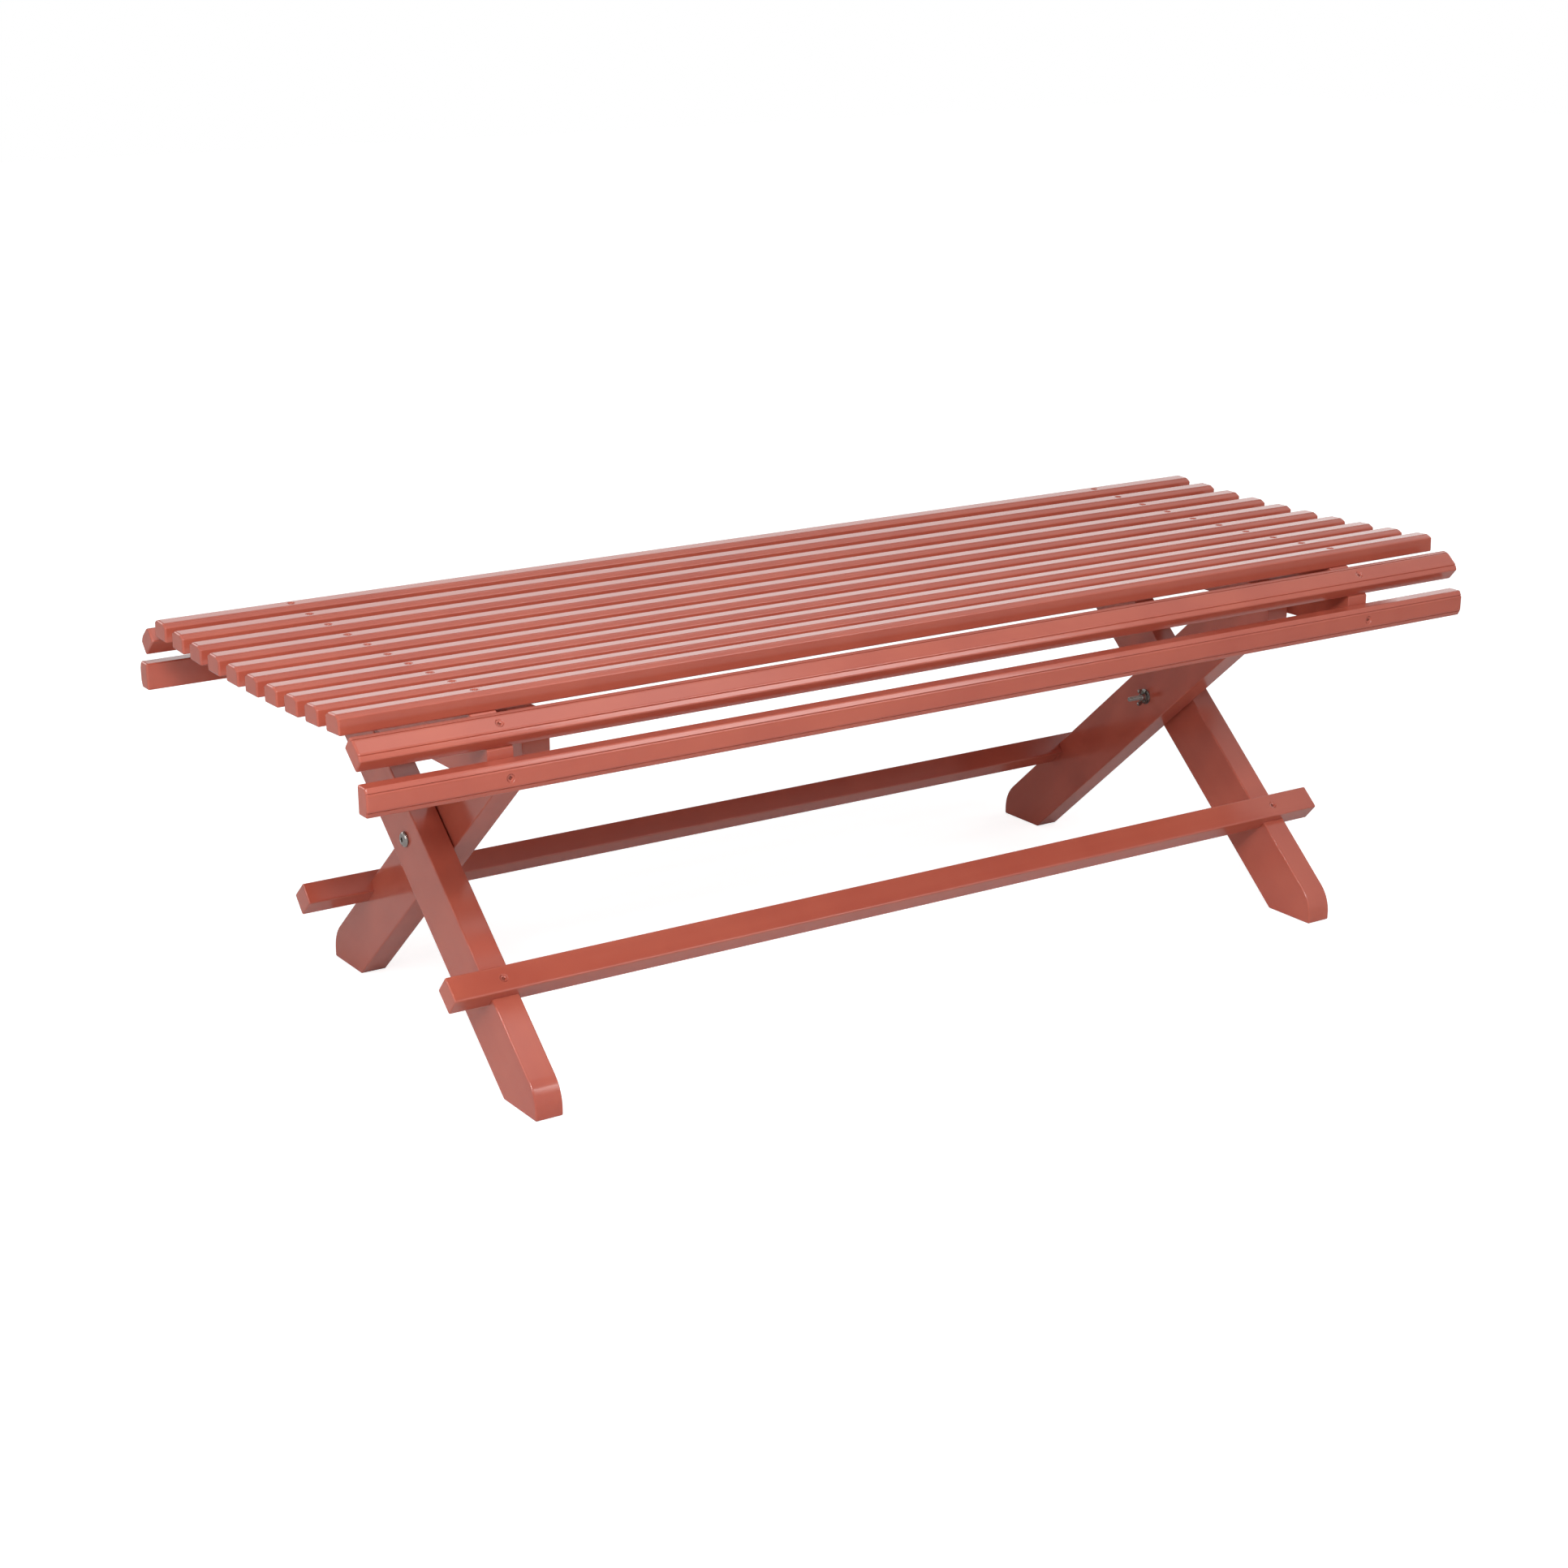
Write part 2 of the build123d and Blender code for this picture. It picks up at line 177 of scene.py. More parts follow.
# %% Floor
FLOOR_IN_REFLECTIONS = 0.04
GLOW_NEAR, GLOW_FAR, GLOW_LEVEL_NEAR = 2.5, 9.0, 0.79
FLOOR_HALF, FLOOR_BELOW = 12.0, 0.0004


def floor_material():
    """White studio floor: bright to the camera with the shadow on it, greyer in the light it throws
    back. The glow grows evenly with the distance from the bench between GLOW_NEAR and GLOW_FAR."""
    made = bpy.data.materials.new("studio_floor")
    tree = emptied(made)
    rays = add(tree, "ShaderNodeLightPath")
    matte = add(tree, "ShaderNodeBsdfDiffuse", None, Color=linear("#cccccc"))
    place = add(tree, "ShaderNodeTexCoord")
    away = add(tree, "ShaderNodeVectorMath", {"operation": "LENGTH"}, _0=(place, "Object"))
    rising = add(tree, "ShaderNodeMapRange", None, Value=(away, "Value"), From_Min=GLOW_NEAR,
                 From_Max=GLOW_FAR, To_Min=GLOW_LEVEL_NEAR, To_Max=1.0)
    glow = add(tree, "ShaderNodeEmission", None, Color=linear("#ffffff"), Strength=(rising, 0))
    catch = add(tree, "ShaderNodeAddShader", None, _0=(matte, 0), _1=(glow, 0))
    dull = add(tree, "ShaderNodeBsdfDiffuse", None, Color=linear("#e4e4e4"))
    mirrored = add(tree, "ShaderNodeMath", {"operation": "MULTIPLY"}, _0=(rays, "Is Glossy Ray"),
                   _1=FLOOR_IN_REFLECTIONS)
    seen = add(tree, "ShaderNodeMath", LARGER, _0=(rays, "Is Camera Ray"), _1=(mirrored, 0))
    seen_any = add(tree, "ShaderNodeMath", LARGER, _0=(seen, 0), _1=(rays, "Is Transmission Ray"))
    pick = add(tree, "ShaderNodeMixShader", None, _0=(seen_any, 0), _1=(dull, 0), _2=(catch, 0))
    add(tree, "ShaderNodeOutputMaterial", None, Surface=(pick, 0))
    return made


floor_mesh = bpy.data.meshes.new("floor")
corners = FLOOR_HALF * np.array([[-1, -1], [1, -1], [1, 1], [-1, 1]])
corners = np.column_stack([corners, np.full(4, -FLOOR_BELOW)])
floor_mesh.from_pydata(corners.tolist(), [], [(0, 1, 2, 3)])
floor_mesh.materials.append(floor_material())
floor = bpy.data.objects.new("floor", floor_mesh)
bpy.context.scene.collection.objects.link(floor)
print("floor:", 2 * FLOOR_HALF, "m square")

# %% [markdown]
# ## Lamps
# Soft boxes do the lighting, because a wide lamp draws a soft band on an eased edge where a point
# would leave a spark. The window at the front left is the main one. A small one at the left draws
# the thin bright lines on the edges, a long one behind draws the bands on the slats' crowns, and
# the others open up the shadows on their own sides.

# %% Lamps
LAMPS = {
    # name: place, point that it is aimed at, width and height in metres, power in watts
    "window": ((-1.9, -2.6, 2.85), (0, 0, 0.35), 1.3, 1.3, 108),
    "edge": ((-2.0, -1.1, 2.9), (-0.2, -0.1, 0.3), 0.22, 0.22, 14),
    "overhead": ((0.55, -0.68, 2.6), (0, -0.2, 0.4), 0.9, 0.9, 3),
    "side": ((-2.9, -0.7, 1.5), (-0.4, 0, 0.3), 1.6, 1.6, 19),
    "front": ((2.1, -3.5, 2.4), (0, 0, 0.4), 1.3, 1.3, 31),
    "rear": ((3.7, 4.8, 1.9), (3.7, 0, 1.9), 5.6, 1.8, 40),
    "back": ((-1.8, 4.4, 2.0), (0, 0, 0.3), 2.6, 1.8, 40),
    "right": ((3.4, 0.5, 1.6), (0, 0, 0.3), 2.0, 1.6, 17),
}

for name, (place, aim, wide, high, power) in LAMPS.items():
    soft_box = bpy.data.lights.new(name, "AREA")
    soft_box.shape = "RECTANGLE"
    soft_box.size, soft_box.size_y, soft_box.energy = wide, high, power
    lamp = bpy.data.objects.new(name, soft_box)
    lamp.location = place
    lamp.rotation_euler = (Vector(aim) - Vector(place)).to_track_quat("-Z", "Y").to_euler()
    bpy.context.scene.collection.objects.link(lamp)
print(len(LAMPS), "lamps,", sum(row[-1] for row in LAMPS.values()), "watts")

# %% [markdown]
# ## Painted pine
# The wood is planed pine with an opaque alkyd paint, brushed on in two coats. The paint is what
# shows: a terracotta red, semi-gloss, IOR about 1.5. It levels well, but a brush leaves faint
# strokes along the wood, about 0.8 mm apart, and the dried film has an orange peel of about 1.5
# mm. The paint is a little darker where it soaked into the pine's softer bands, about 6 mm wide. A
# picture of paint could be laid on instead, but noise worked out from real sizes has no seams and
# holds close up. A piece's own `grain` attribute gives its coordinates in metres, first along the
# wood, so the strokes follow every slat and leg and stay on it in any pose. On the screws, a
# painted shade darkens the deepest part of the cross, where the recess lies in shadow.

# %% Paint material
# The third colour is painted shade: the dark given to the bottom of a screw's cross recess.
PAINT_THIN, PAINT_FULL, RECESS_SHADE = "#b25946", "#a85040", "#823f32"
PAINT_IOR, GLOSSIEST, DULLEST = 1.5, 0.13, 0.18
STROKE_SPACING, STROKE_LENGTH, STROKE_HEIGHT = 0.0008, 0.070, 0.00004
PEEL_SIZE, PEEL_HEIGHT = 0.0015, 0.00006
GRAIN_WIDTH, GRAIN_LENGTH, GRAIN_SHARE = 0.006, 0.150, 0.22
MOTTLE_SIZE = 0.045
PATTERN_LOW, PATTERN_HIGH = 0.3, 0.7
RELIEF = 0.4
# Depths in metres at which the painted shade in a screw's recess starts and is full.
RECESS_SHADE_FROM, RECESS_SHADE_DEEPEST = -0.0014, -0.0019


def painted_pine(name, with_recess_shade=False):
    """Semi-gloss terracotta paint on planed pine, brushed along the grain. A noise of scale 0.5
    over a size has spots of that size, and one that is squeezed along x has streaks. A painted
    shade darkens the deepest part of a screw's recess, in place of its shadow."""
    made = bpy.data.materials.new(name)
    tree = emptied(made)
    place = add(tree, "ShaderNodeAttribute", {"attribute_name": "grain"})
    along = add(tree, "ShaderNodeVectorMath", {"operation": "MULTIPLY"}, _0=(place, "Vector"),
                _1=(STROKE_SPACING / STROKE_LENGTH, 1, 1))
    strokes = add(tree, "ShaderNodeTexNoise", None, Vector=(along, 0), Scale=0.5 / STROKE_SPACING,
                  Detail=3.0, Roughness=0.6)
    peel = add(tree, "ShaderNodeTexNoise", None, Vector=(place, "Vector"), Scale=0.5 / PEEL_SIZE,
               Detail=2.0)
    mottle = add(tree, "ShaderNodeTexNoise", None, Vector=(place, "Vector"),
                 Scale=0.5 / MOTTLE_SIZE, Detail=3.0, Roughness=0.55)
    lengthwise = add(tree, "ShaderNodeVectorMath", {"operation": "MULTIPLY"}, _0=(place, "Vector"),
                     _1=(GRAIN_WIDTH / GRAIN_LENGTH, 1, 1))
    grain = add(tree, "ShaderNodeTexNoise", None, Vector=(lengthwise, 0), Scale=0.5 / GRAIN_WIDTH,
                Detail=3.0)
    tone = add(tree, "ShaderNodeMix", None, Factor=GRAIN_SHARE, A=(mottle, 0), B=(grain, 0))
    spread = add(tree, "ShaderNodeMapRange", None, Value=(tone, 0), From_Min=PATTERN_LOW,
                 From_Max=PATTERN_HIGH)
    shade = add(tree, "ShaderNodeMixRGB", None, Fac=(spread, 0), Color1=linear(PAINT_FULL),
                Color2=linear(PAINT_THIN))
    # Painted shade: the deepest part of a screw's cross takes a darker colour in place of shadow.
    if with_recess_shade:
        own = add(tree, "ShaderNodeSeparateXYZ", None, Vector=(place, "Vector"))
        recess_shade_amount = add(tree, "ShaderNodeMapRange", None, Value=(own, "Z"), From_Min=RECESS_SHADE_FROM,
                   From_Max=RECESS_SHADE_DEEPEST)
        shade = add(tree, "ShaderNodeMixRGB", None, Fac=(recess_shade_amount, 0), Color1=(shade, 0),
                    Color2=linear(RECESS_SHADE))
    gloss = add(tree, "ShaderNodeMapRange", None, Value=(mottle, 0), From_Min=PATTERN_LOW,
                From_Max=PATTERN_HIGH, To_Min=GLOSSIEST, To_Max=DULLEST)
    ridges = add(tree, "ShaderNodeBump", None, Strength=RELIEF, Distance=STROKE_HEIGHT,
                 Height=(strokes, 0))
    film = add(tree, "ShaderNodeBump", None, Strength=RELIEF, Distance=PEEL_HEIGHT,
               Height=(peel, 0), Normal=(ridges, 0))
    surface = add(tree, "ShaderNodeBsdfPrincipled", None, Base_Color=(shade, 0),
                  Roughness=(gloss, 0), IOR=PAINT_IOR, Normal=(film, 0))
    add(tree, "ShaderNodeOutputMaterial", None, Surface=(surface, 0))
    return made


paint = painted_pine("alkyd_paint_on_pine")
# The screws' paint carries the painted shade in their cross recesses.
paint_on_screws = painted_pine("alkyd_paint_on_screws", with_recess_shade=True)
print("paint: strokes", STROKE_SPACING * 1000, "mm apart, roughness", GLOSSIEST, "to", DULLEST)

# %% [markdown]
# ## Bright zinc-plated steel
# Bolts, washers and nuts are small steel parts with a thin bright zinc coat: a metal, a little
# warm where it has dulled, roughness about 0.15. Drawn bar would ask for a brushed look along one
# direction. These were tumbled before plating, which leaves a fine blur in spots of about half a
# millimetre with no direction, so a round noise on the roughness is enough.

# %% Steel material
ZINC, SHINIEST, HAZIEST = "#8f8a86", 0.10, 0.20
SPOTS_PER_METRE = 900.0


def zinc_steel():
    """Bright zinc plating on small steel hardware: a metal whose roughness follows a noise."""
    made = bpy.data.materials.new("bright_zinc_on_steel")
    tree = emptied(made)
    place = add(tree, "ShaderNodeTexCoord")
    blotch = add(tree, "ShaderNodeTexNoise", None, Vector=(place, "Object"), Scale=SPOTS_PER_METRE,
                 Detail=2.0)
    blur = add(tree, "ShaderNodeMapRange", None, Value=(blotch, 0), To_Min=SHINIEST,
               To_Max=HAZIEST)
    surface = add(tree, "ShaderNodeBsdfPrincipled", None, Base_Color=linear(ZINC), Metallic=1.0,
                  Roughness=(blur, 0))
    add(tree, "ShaderNodeOutputMaterial", None, Surface=(surface, 0))
    return made


steel = zinc_steel()
print("steel: roughness", SHINIEST, "to", HAZIEST)

# %% [markdown]
# ## From arrays to pieces
# Wood pieces are bars and boards, and hardware is turned. They could be modelled by hand with
# extrusions and bevels. Here each is one surface through a stack of rings instead, so one function
# makes the faces for all of them. A cap closes each end, or the last ring joins the first, as in a
# washer. A piece is worked out in its own millimetres, first along the wood, and then set in
# place.

# %% Surface through rings
def skin(rings, joined=False):
    """Points and faces through equal rings: quads between neighbours, then two flat caps or a row
    that joins the last ring to the first."""
    index = np.arange(rings.shape[0] * rings.shape[1]).reshape(rings.shape[:2])
    stack = np.vstack([index, index[:1]]) if joined else index
    beside = np.roll(stack, -1, axis=1)
    faces = np.stack([stack[:-1], beside[:-1], beside[1:], stack[1:]], axis=-1).reshape(-1, 4)
    caps = [] if joined else [index[0].tolist(), index[-1].tolist()]
    return rings.reshape(-1, 3), faces.tolist() + caps


def placed(shape, middle, axes):
    """A shape's points, faces and own coordinates, set at middle with its x, y and z along the
    three axes."""
    points, faces = shape
    return np.asarray(middle) + points @ np.asarray(axes, float), faces, points


def set_on(shape, spot, place, axes):
    """A small shape moved to a spot of a piece and placed with it. It keeps its own coordinates."""
    points, faces = shape
    return placed((points + np.asarray(spot), faces), place, axes)[:2] + (points,)


print("two rings of four points make", len(skin(np.zeros((2, 4, 3)))[1]), "faces, as a box has")

# %% [markdown]
# ## A finished piece
# Each piece stands for one CAD node, so it has to say which node it replaces, which body it rides
# on and which finish it takes. The shape's own coordinates are kept on the mesh as the `grain`
# attribute, so that the paint's brush strokes run along the wood. They move on a little from node
# to node, or every slat would show the same bands. Normals are worked out again, because a
# mirrored shape is inside out.

# %% Make a finished piece
MM_PER_METRE = 1000
GRAIN_STEP = 0.37
CRISP_PAST = math.radians(32)
body_of = {
    node: body for body, nodes in frame["record"]["behaviour"]["bodies"].items() for node in nodes
}


def dress(node, shapes, material):
    """Joins placed shapes into one piece over a node: millimetres to metres, faces outwards, crisp
    where two faces meet at more than CRISP_PAST."""
    starts = np.cumsum([0] + [len(points) for points, _, _ in shapes])
    faces = [[int(start) + corner for corner in face]
             for start, (_, some, _) in zip(starts, shapes) for face in some]
    points = np.vstack([points for points, _, _ in shapes]) / MM_PER_METRE
    mesh = bpy.data.meshes.new(f"{material.name}_{node}")
    mesh.from_pydata(points.tolist(), [], faces)
    work = bmesh.new()
    work.from_mesh(mesh)
    bmesh.ops.recalc_face_normals(work, faces=work.faces)
    work.to_mesh(mesh)
    work.free()
    own = np.vstack([points / MM_PER_METRE for _, _, points in shapes])
    own[:, :2] += GRAIN_STEP * (1 + list(frame["nodes"]).index(node))
    grain = mesh.attributes.new("grain", "FLOAT_VECTOR", "POINT")
    grain.data.foreach_set("vector", own.astype(np.float32).ravel())
    mesh.shade_smooth()
    mesh.set_sharp_from_angle(angle=CRISP_PAST)
    mesh.materials.append(material)
    piece = bpy.data.objects.new(f"finished_{node}", mesh)
    bpy.context.scene.collection.objects.link(piece)
    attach(piece, body_of[node])
    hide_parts(node)


print("pieces ride on:", ", ".join(sorted(set(body_of.values()))))

# %% [markdown]
# ## Section of a slat
# A moulding plane leaves a flat crown, a fine groove at each side of it, the quirk, and a sloping
# shoulder with a rounded arris. The profile could be traced as a curve and swept. As an array of
# points it can carry more of them where the shape turns fast, and none is wasted on the flats.

# %% Points of the section
SLAT_LENGTH, SLAT_WIDTH, SLAT_THICKNESS = 1500.0, 31.0, 21.0
edge = SLAT_WIDTH / 2


def slat_section():
    """Right half from the crown's middle round to the base's middle, then its mirror image. Flat
    crown, its arris a quarter ellipse 2.4 by 0.9 mm, groove, shoulder sloping 28 degrees, 2 mm
    arris, side, 1.5 mm arris, base."""
    turn = np.linspace(np.pi / 2, 0, 6)
    crown = np.column_stack([np.r_[0:5.5:12j, 6.3, 6.9], np.full(14, SLAT_THICKNESS)])
    crown_arris = np.column_stack([7.1 + 2.4 * np.cos(turn), 20.1 + 0.9 * np.sin(turn)])
    groove = np.array([[9.56, 19.6], [9.7, 19.35], [10.1, 19.35], [10.3, 19.7], [10.45, 20.1]])
    shoulder = np.array([[10.7, 20.03], [12.4, 19.14], [14.2, 18.2]])
    sweep = np.linspace(math.radians(62), 0, 8)
    arris = np.column_stack([13.5 + 2.0 * np.cos(sweep), 16.3 + 2.0 * np.sin(sweep)])
    side = np.array([[edge, 15.6], [edge, 1.9]])
    base_arris = np.column_stack([14.0 + 1.5 * np.cos(turn[::-1]), 1.5 - 1.5 * np.sin(turn[::-1])])
    base = np.array([[13.6, 0.0], [7.0, 0.0], [0.0, 0.0]])
    half = np.vstack([crown, crown_arris, groove, shoulder, arris, side, base_arris, base])
    return np.vstack([half, half[-2:0:-1] * [-1, 1]])


section = slat_section()
print("section:", len(section), "points,", np.ptp(section, axis=0), "mm")

# %% [markdown]
# ## Bars
# A slat or a stretcher is its section carried along the wood: a grid, section points across,
# stations along. A Bevel modifier could ease the ends, but it would also round the groove. So the
# stations crowd together at the ends, where the section is drawn in as the arris asks, and round
# the two screws, where the wood is countersunk deeper than the head, so that the head shows.

# %% Carry a section along a bar
ARRIS_STEPS, MIDDLE_STATIONS = 5, 61
END_RING = 0.6
FINE_REACH, FINE_STEP, FINE_ROOM = 6.5, 0.5, 7.5
DIMPLE_RADIUS, DIMPLE_DEPTH, DIMPLE_WALL = 4.9, 3.0, 2.0
SAME_LEVEL = 0.01


def eased(radius):
    """Quarter-round arris: how far each ring lies from the end of a piece, radius times one minus
    the sine, and how far it is drawn in, radius times one minus the cosine."""
    angle = np.linspace(0, np.pi / 2, ARRIS_STEPS)
    return radius * (1 - np.sin(angle)), radius * (1 - np.cos(angle))


def stations(length, end_radius, screws):
    """Places along a bar, and how far the section is drawn in at each: the arris, one flat ring
    inside each cap, even steps between, and fine steps round the screws."""
    away, drawn = eased(end_radius)
    reach, screws = length / 2 - end_radius - END_RING, np.asarray(screws)
    middle = np.linspace(-reach, reach, MIDDLE_STATIONS)
    middle = middle[np.all(np.abs(middle[:, None] - screws) > FINE_ROOM, axis=1)]
    near = np.linspace(-FINE_REACH, FINE_REACH, round(2 * FINE_REACH / FINE_STEP) + 1)
    middle = np.sort(np.r_[middle, (screws[:, None] + near).ravel()])
    ends = length / 2 - np.r_[0, away[::-1]]
    pull = np.r_[end_radius + END_RING, drawn[::-1]]
    return np.r_[-ends, middle, ends[::-1]], np.r_[pull, 0 * middle, pull[::-1]]


def bar(section, length, end_radius, screws, face_level):
    """A section (y, z) carried along x. At the ends it shrinks about its middle by the same amount
    on each side. Near a screw, points on the face sink by a smooth step of their distance from the
    screw: three times its square less twice its cube."""
    x, pull = stations(length, end_radius, screws)
    middle = (section.max(0) + section.min(0)) / 2
    half = (section.max(0) - section.min(0)) / 2
    across = middle + (section - middle) * ((half - pull[:, None]) / half)[:, None, :]
    rings = np.dstack([np.broadcast_to(x[:, None], across.shape[:2]), across])
    apart = np.min([np.hypot(rings[..., 0] - s, rings[..., 1]) for s in screws], axis=0)
    step = np.clip((DIMPLE_RADIUS - apart) / DIMPLE_WALL, 0, 1)
    on_face = rings[..., 2] > face_level - SAME_LEVEL
    rings[..., 2] -= np.where(on_face, DIMPLE_DEPTH * step**2 * (3 - 2 * step), 0)
    return skin(rings)


BEARER_MIDDLE_X, SLAT_END_RADIUS = 591.0, 2.0
slat_shape = bar(section, SLAT_LENGTH, SLAT_END_RADIUS, (-BEARER_MIDDLE_X, BEARER_MIDDLE_X),
                 SLAT_THICKNESS)
print("one slat:", len(slat_shape[0]), "points")

# %% [markdown]
# ## Where the slats lie
# The seat is dished, a long arc from front to back, and each slat tilts to lie on it. The two
# outer pairs lie on the bearers' sloping and upright ends, moulded face outwards. All fourteen
# slats are made with the same moulding plane, so they could be fourteen copies of one object. They
# share one array of points instead, set in place as it is copied, because a finished piece has to
# sit at the origin, unturned.

# %% Place the slats
SLAT_COUNT, SLAT_PITCH = 10, 50.5
DISH_RADIUS, UNDERSIDE_MIDDLE = 4222.0, 435.0
CHAMFER = math.radians(40.0)
BARE_ABOVE, BARE_BELOW = 13.5, 2.0
VERTICAL_DROP, VERTICAL_LIP = 10.0, 1.0


def tilted(angle):
    """Axes of a piece turned about the bench's length: x stays, y and z turn by the angle."""
    cosine, sine = math.cos(angle), math.sin(angle)
    return [[1, 0, 0], [0, cosine, sine], [0, -sine, cosine]]


def seat_station(index):
    """Underside middle of a seat slat and its tilt, from the dish's circle: the height is radius
    less the root of radius squared minus y squared, and the tilt's sine is y over radius."""
    y = (index - (SLAT_COUNT - 1) / 2) * SLAT_PITCH
    height = UNDERSIDE_MIDDLE + DISH_RADIUS - math.sqrt(DISH_RADIUS**2 - y**2)
    return (0, y, height), math.asin(y / DISH_RADIUS)


slat_places = {}
for index in range(SLAT_COUNT):
    place, tilt = seat_station(index)
    slat_places[f"slat_top_{index + 1:02d}"] = place, tilted(tilt)
# The last slat placed is the rearmost one, and the bearers' chamfer starts at its edge.
chamfer_top = np.array([place[1] + edge * math.cos(tilt), place[2] + edge * math.sin(tilt)])
chamfer_slope = np.array([math.cos(CHAMFER), -math.sin(CHAMFER)])
angled_y, angled_z = chamfer_top + (BARE_ABOVE + edge) * chamfer_slope
bearer_half, bearer_corner_z = chamfer_top + (BARE_ABOVE + SLAT_WIDTH + BARE_BELOW) * chamfer_slope
upright_z = bearer_corner_z - (VERTICAL_DROP + edge)
for name, side in (("front", -1), ("back", 1)):
    slat_places[f"slat_angled_{name}"] = (0, side * angled_y, angled_z), tilted(-side * CHAMFER)
    slat_places[f"slat_vertical_{name}"] = (
        (0, side * bearer_half, upright_z), tilted(-side * math.pi / 2))
for name, (place, axes) in slat_places.items():
    dress(name, [placed(slat_shape, place, axes)], paint)
print("seat depth over the vertical slats:", round(2 * (bearer_half + SLAT_THICKNESS), 1), "mm")

# %% [markdown]
# ## Painted screws
# The screws were driven before painting, so their heads are shallow bowls of paint in
# countersinks, and the cross recess is half filled. A cut with a Boolean would leave sharp walls
# that no brush leaves. A head is a polar grid instead, whose height falls towards the middle, at
# the rim and in the cross, with sloping walls.

# %% Screw heads
HEAD_RADIUS, HEAD_BELOW, WALL_BELOW = 3.9, 0.4, 2.8
BOWL_DEPTH, CROSS_DEPTH, RIM_DEPTH, RIM_WIDTH = 1.1, 1.2, 0.3, 0.9
CROSS_REACH, CROSS_HALF_WIDTH = 2.3, 1.05
REACH_SLOPE, WIDTH_SLOPE = 0.5, 0.6


def screw_head():
    """Rings of growing radius: HEAD_BELOW under the wood, less a bowl whose depth falls with the
    square of the radius, less a rounded rim, less a cross of two slots with sloping walls."""
    radius = np.r_[0.12, 0.35:3.3:14j, 3.5, 3.7, 3.85, HEAD_RADIUS, HEAD_RADIUS]
    angle = np.linspace(0, 2 * np.pi, 48, endpoint=False)
    x, y = radius[:, None] * np.cos(angle), radius[:, None] * np.sin(angle)

    def slot(along, across):
        """1 on the slot's floor, 0 outside, and straight slopes between at its ends and sides."""
        ends = np.clip((CROSS_REACH - np.abs(along)) / REACH_SLOPE, 0, 1)
        return ends * np.clip((CROSS_HALF_WIDTH - np.abs(across)) / WIDTH_SLOPE, 0, 1)

    rim = np.clip((radius - (HEAD_RADIUS - RIM_WIDTH)) / RIM_WIDTH, 0, 1)[:, None] ** 2
    bowl = (1 - (radius / HEAD_RADIUS) ** 2)[:, None]
    cross = np.maximum(slot(x, y), slot(y, x))
    height = -HEAD_BELOW - BOWL_DEPTH * bowl - CROSS_DEPTH * cross - RIM_DEPTH * rim
    height[-1] = -WALL_BELOW
    return skin(np.dstack([x, y, height]))


head = screw_head()
spots = [(side * BEARER_MIDDLE_X, 0, SLAT_THICKNESS) for side in (-1, 1)]
heads = [set_on(head, spot, place, axes) for place, axes in slat_places.values() for spot in spots]
dress("slat_screws", heads, paint_on_screws)
print(len(heads), "screw heads on the slats")

# %% [markdown]
# ## Flat boards with eased edges
# Bearers and legs are sawn to an outline, and then every edge is eased with a small round. A solid
# with a Bevel modifier would do that too, but its width fails where a curved outline has short
# edges. Here the outline is a polygon with arcs at its corners. It is repeated through the board's
# thickness, drawn in near both faces as the arris asks, and closed by two flat faces.

# %% Outlines and boards
FACE_RING = 0.5


def rounded(corners, radii, steps):
    """Corners replaced by arcs that touch both edges. The arc's middle is on the corner's bisector,
    radius over sine of the half angle away, and its points turn evenly from one touching point to
    the other."""
    corners, radii = np.asarray(corners, float), np.asarray(radii, float)[:, None]
    back = np.roll(corners, 1, axis=0) - corners
    on = np.roll(corners, -1, axis=0) - corners
    back, on = (way / np.linalg.norm(way, axis=1, keepdims=True) for way in (back, on))
    half = np.arccos(np.clip((back * on).sum(1, keepdims=True), -1, 1)) / 2
    bisector = (back + on) / np.linalg.norm(back + on, axis=1, keepdims=True)
    middle = corners + bisector * radii / np.sin(half)
    first = corners + back * radii / np.tan(half) - middle
    last = corners + on * radii / np.tan(half) - middle
    spread, share = np.pi - 2 * half, np.linspace(0, 1, steps)
    turn = (np.sin((1 - share) * spread) / np.sin(spread))[..., None] * first[:, None]
    turn = turn + (np.sin(share * spread) / np.sin(spread))[..., None] * last[:, None]
    return (middle[:, None] + turn).reshape(-1, 2)


def inward(outline):
    """How each point of an outline moves when its edges move in by one: the sum of both edges'
    normals over one plus their dot product."""
    way = np.roll(outline, -1, axis=0) - outline
    normal = np.column_stack([-way[:, 1], way[:, 0]]) / np.linalg.norm(way, axis=1, keepdims=True)
    on = np.roll(outline, -1, axis=0)
    normal *= np.sign((outline[:, 0] * on[:, 1] - outline[:, 1] * on[:, 0]).sum())
    before = np.roll(normal, 1, axis=0)
    return (before + normal) / (1 + (before * normal).sum(1, keepdims=True))


def board(outline, thickness, arris, mitre=None):
    """An outline (x, y) through a thickness along z: rings at both faces drawn in along the mitre
    by the arris, with one flat ring inside each face."""
    mitre = inward(outline) if mitre is None else mitre
    away, drawn = eased(arris)
    z = thickness / 2 - np.r_[0, away[::-1], arris + FACE_RING]
    pull = np.r_[arris + FACE_RING, drawn[::-1], 0]
    z, pull = np.r_[z, -z[::-1]], np.r_[pull, pull[::-1]]
    flat = outline + pull[:, None, None] * mitre
    return skin(np.dstack([flat, np.broadcast_to(z[:, None], flat.shape[:2])]))


square = rounded([(0, 0), (10, 0), (10, 10), (0, 10)], [2] * 4, 7)
print("a square with round corners:", len(square), "points,", np.ptp(square, axis=0), "mm")

# %% [markdown]
# ## Bearers
# Each bearer is one board on edge. Its upper edge has a small flat under every slat, its ends
# slope at 40 degrees for the angled slat and then drop straight for the vertical one. The outline
# is worked out from the slats' own places, not drawn again, so the slats can't leave their seats.

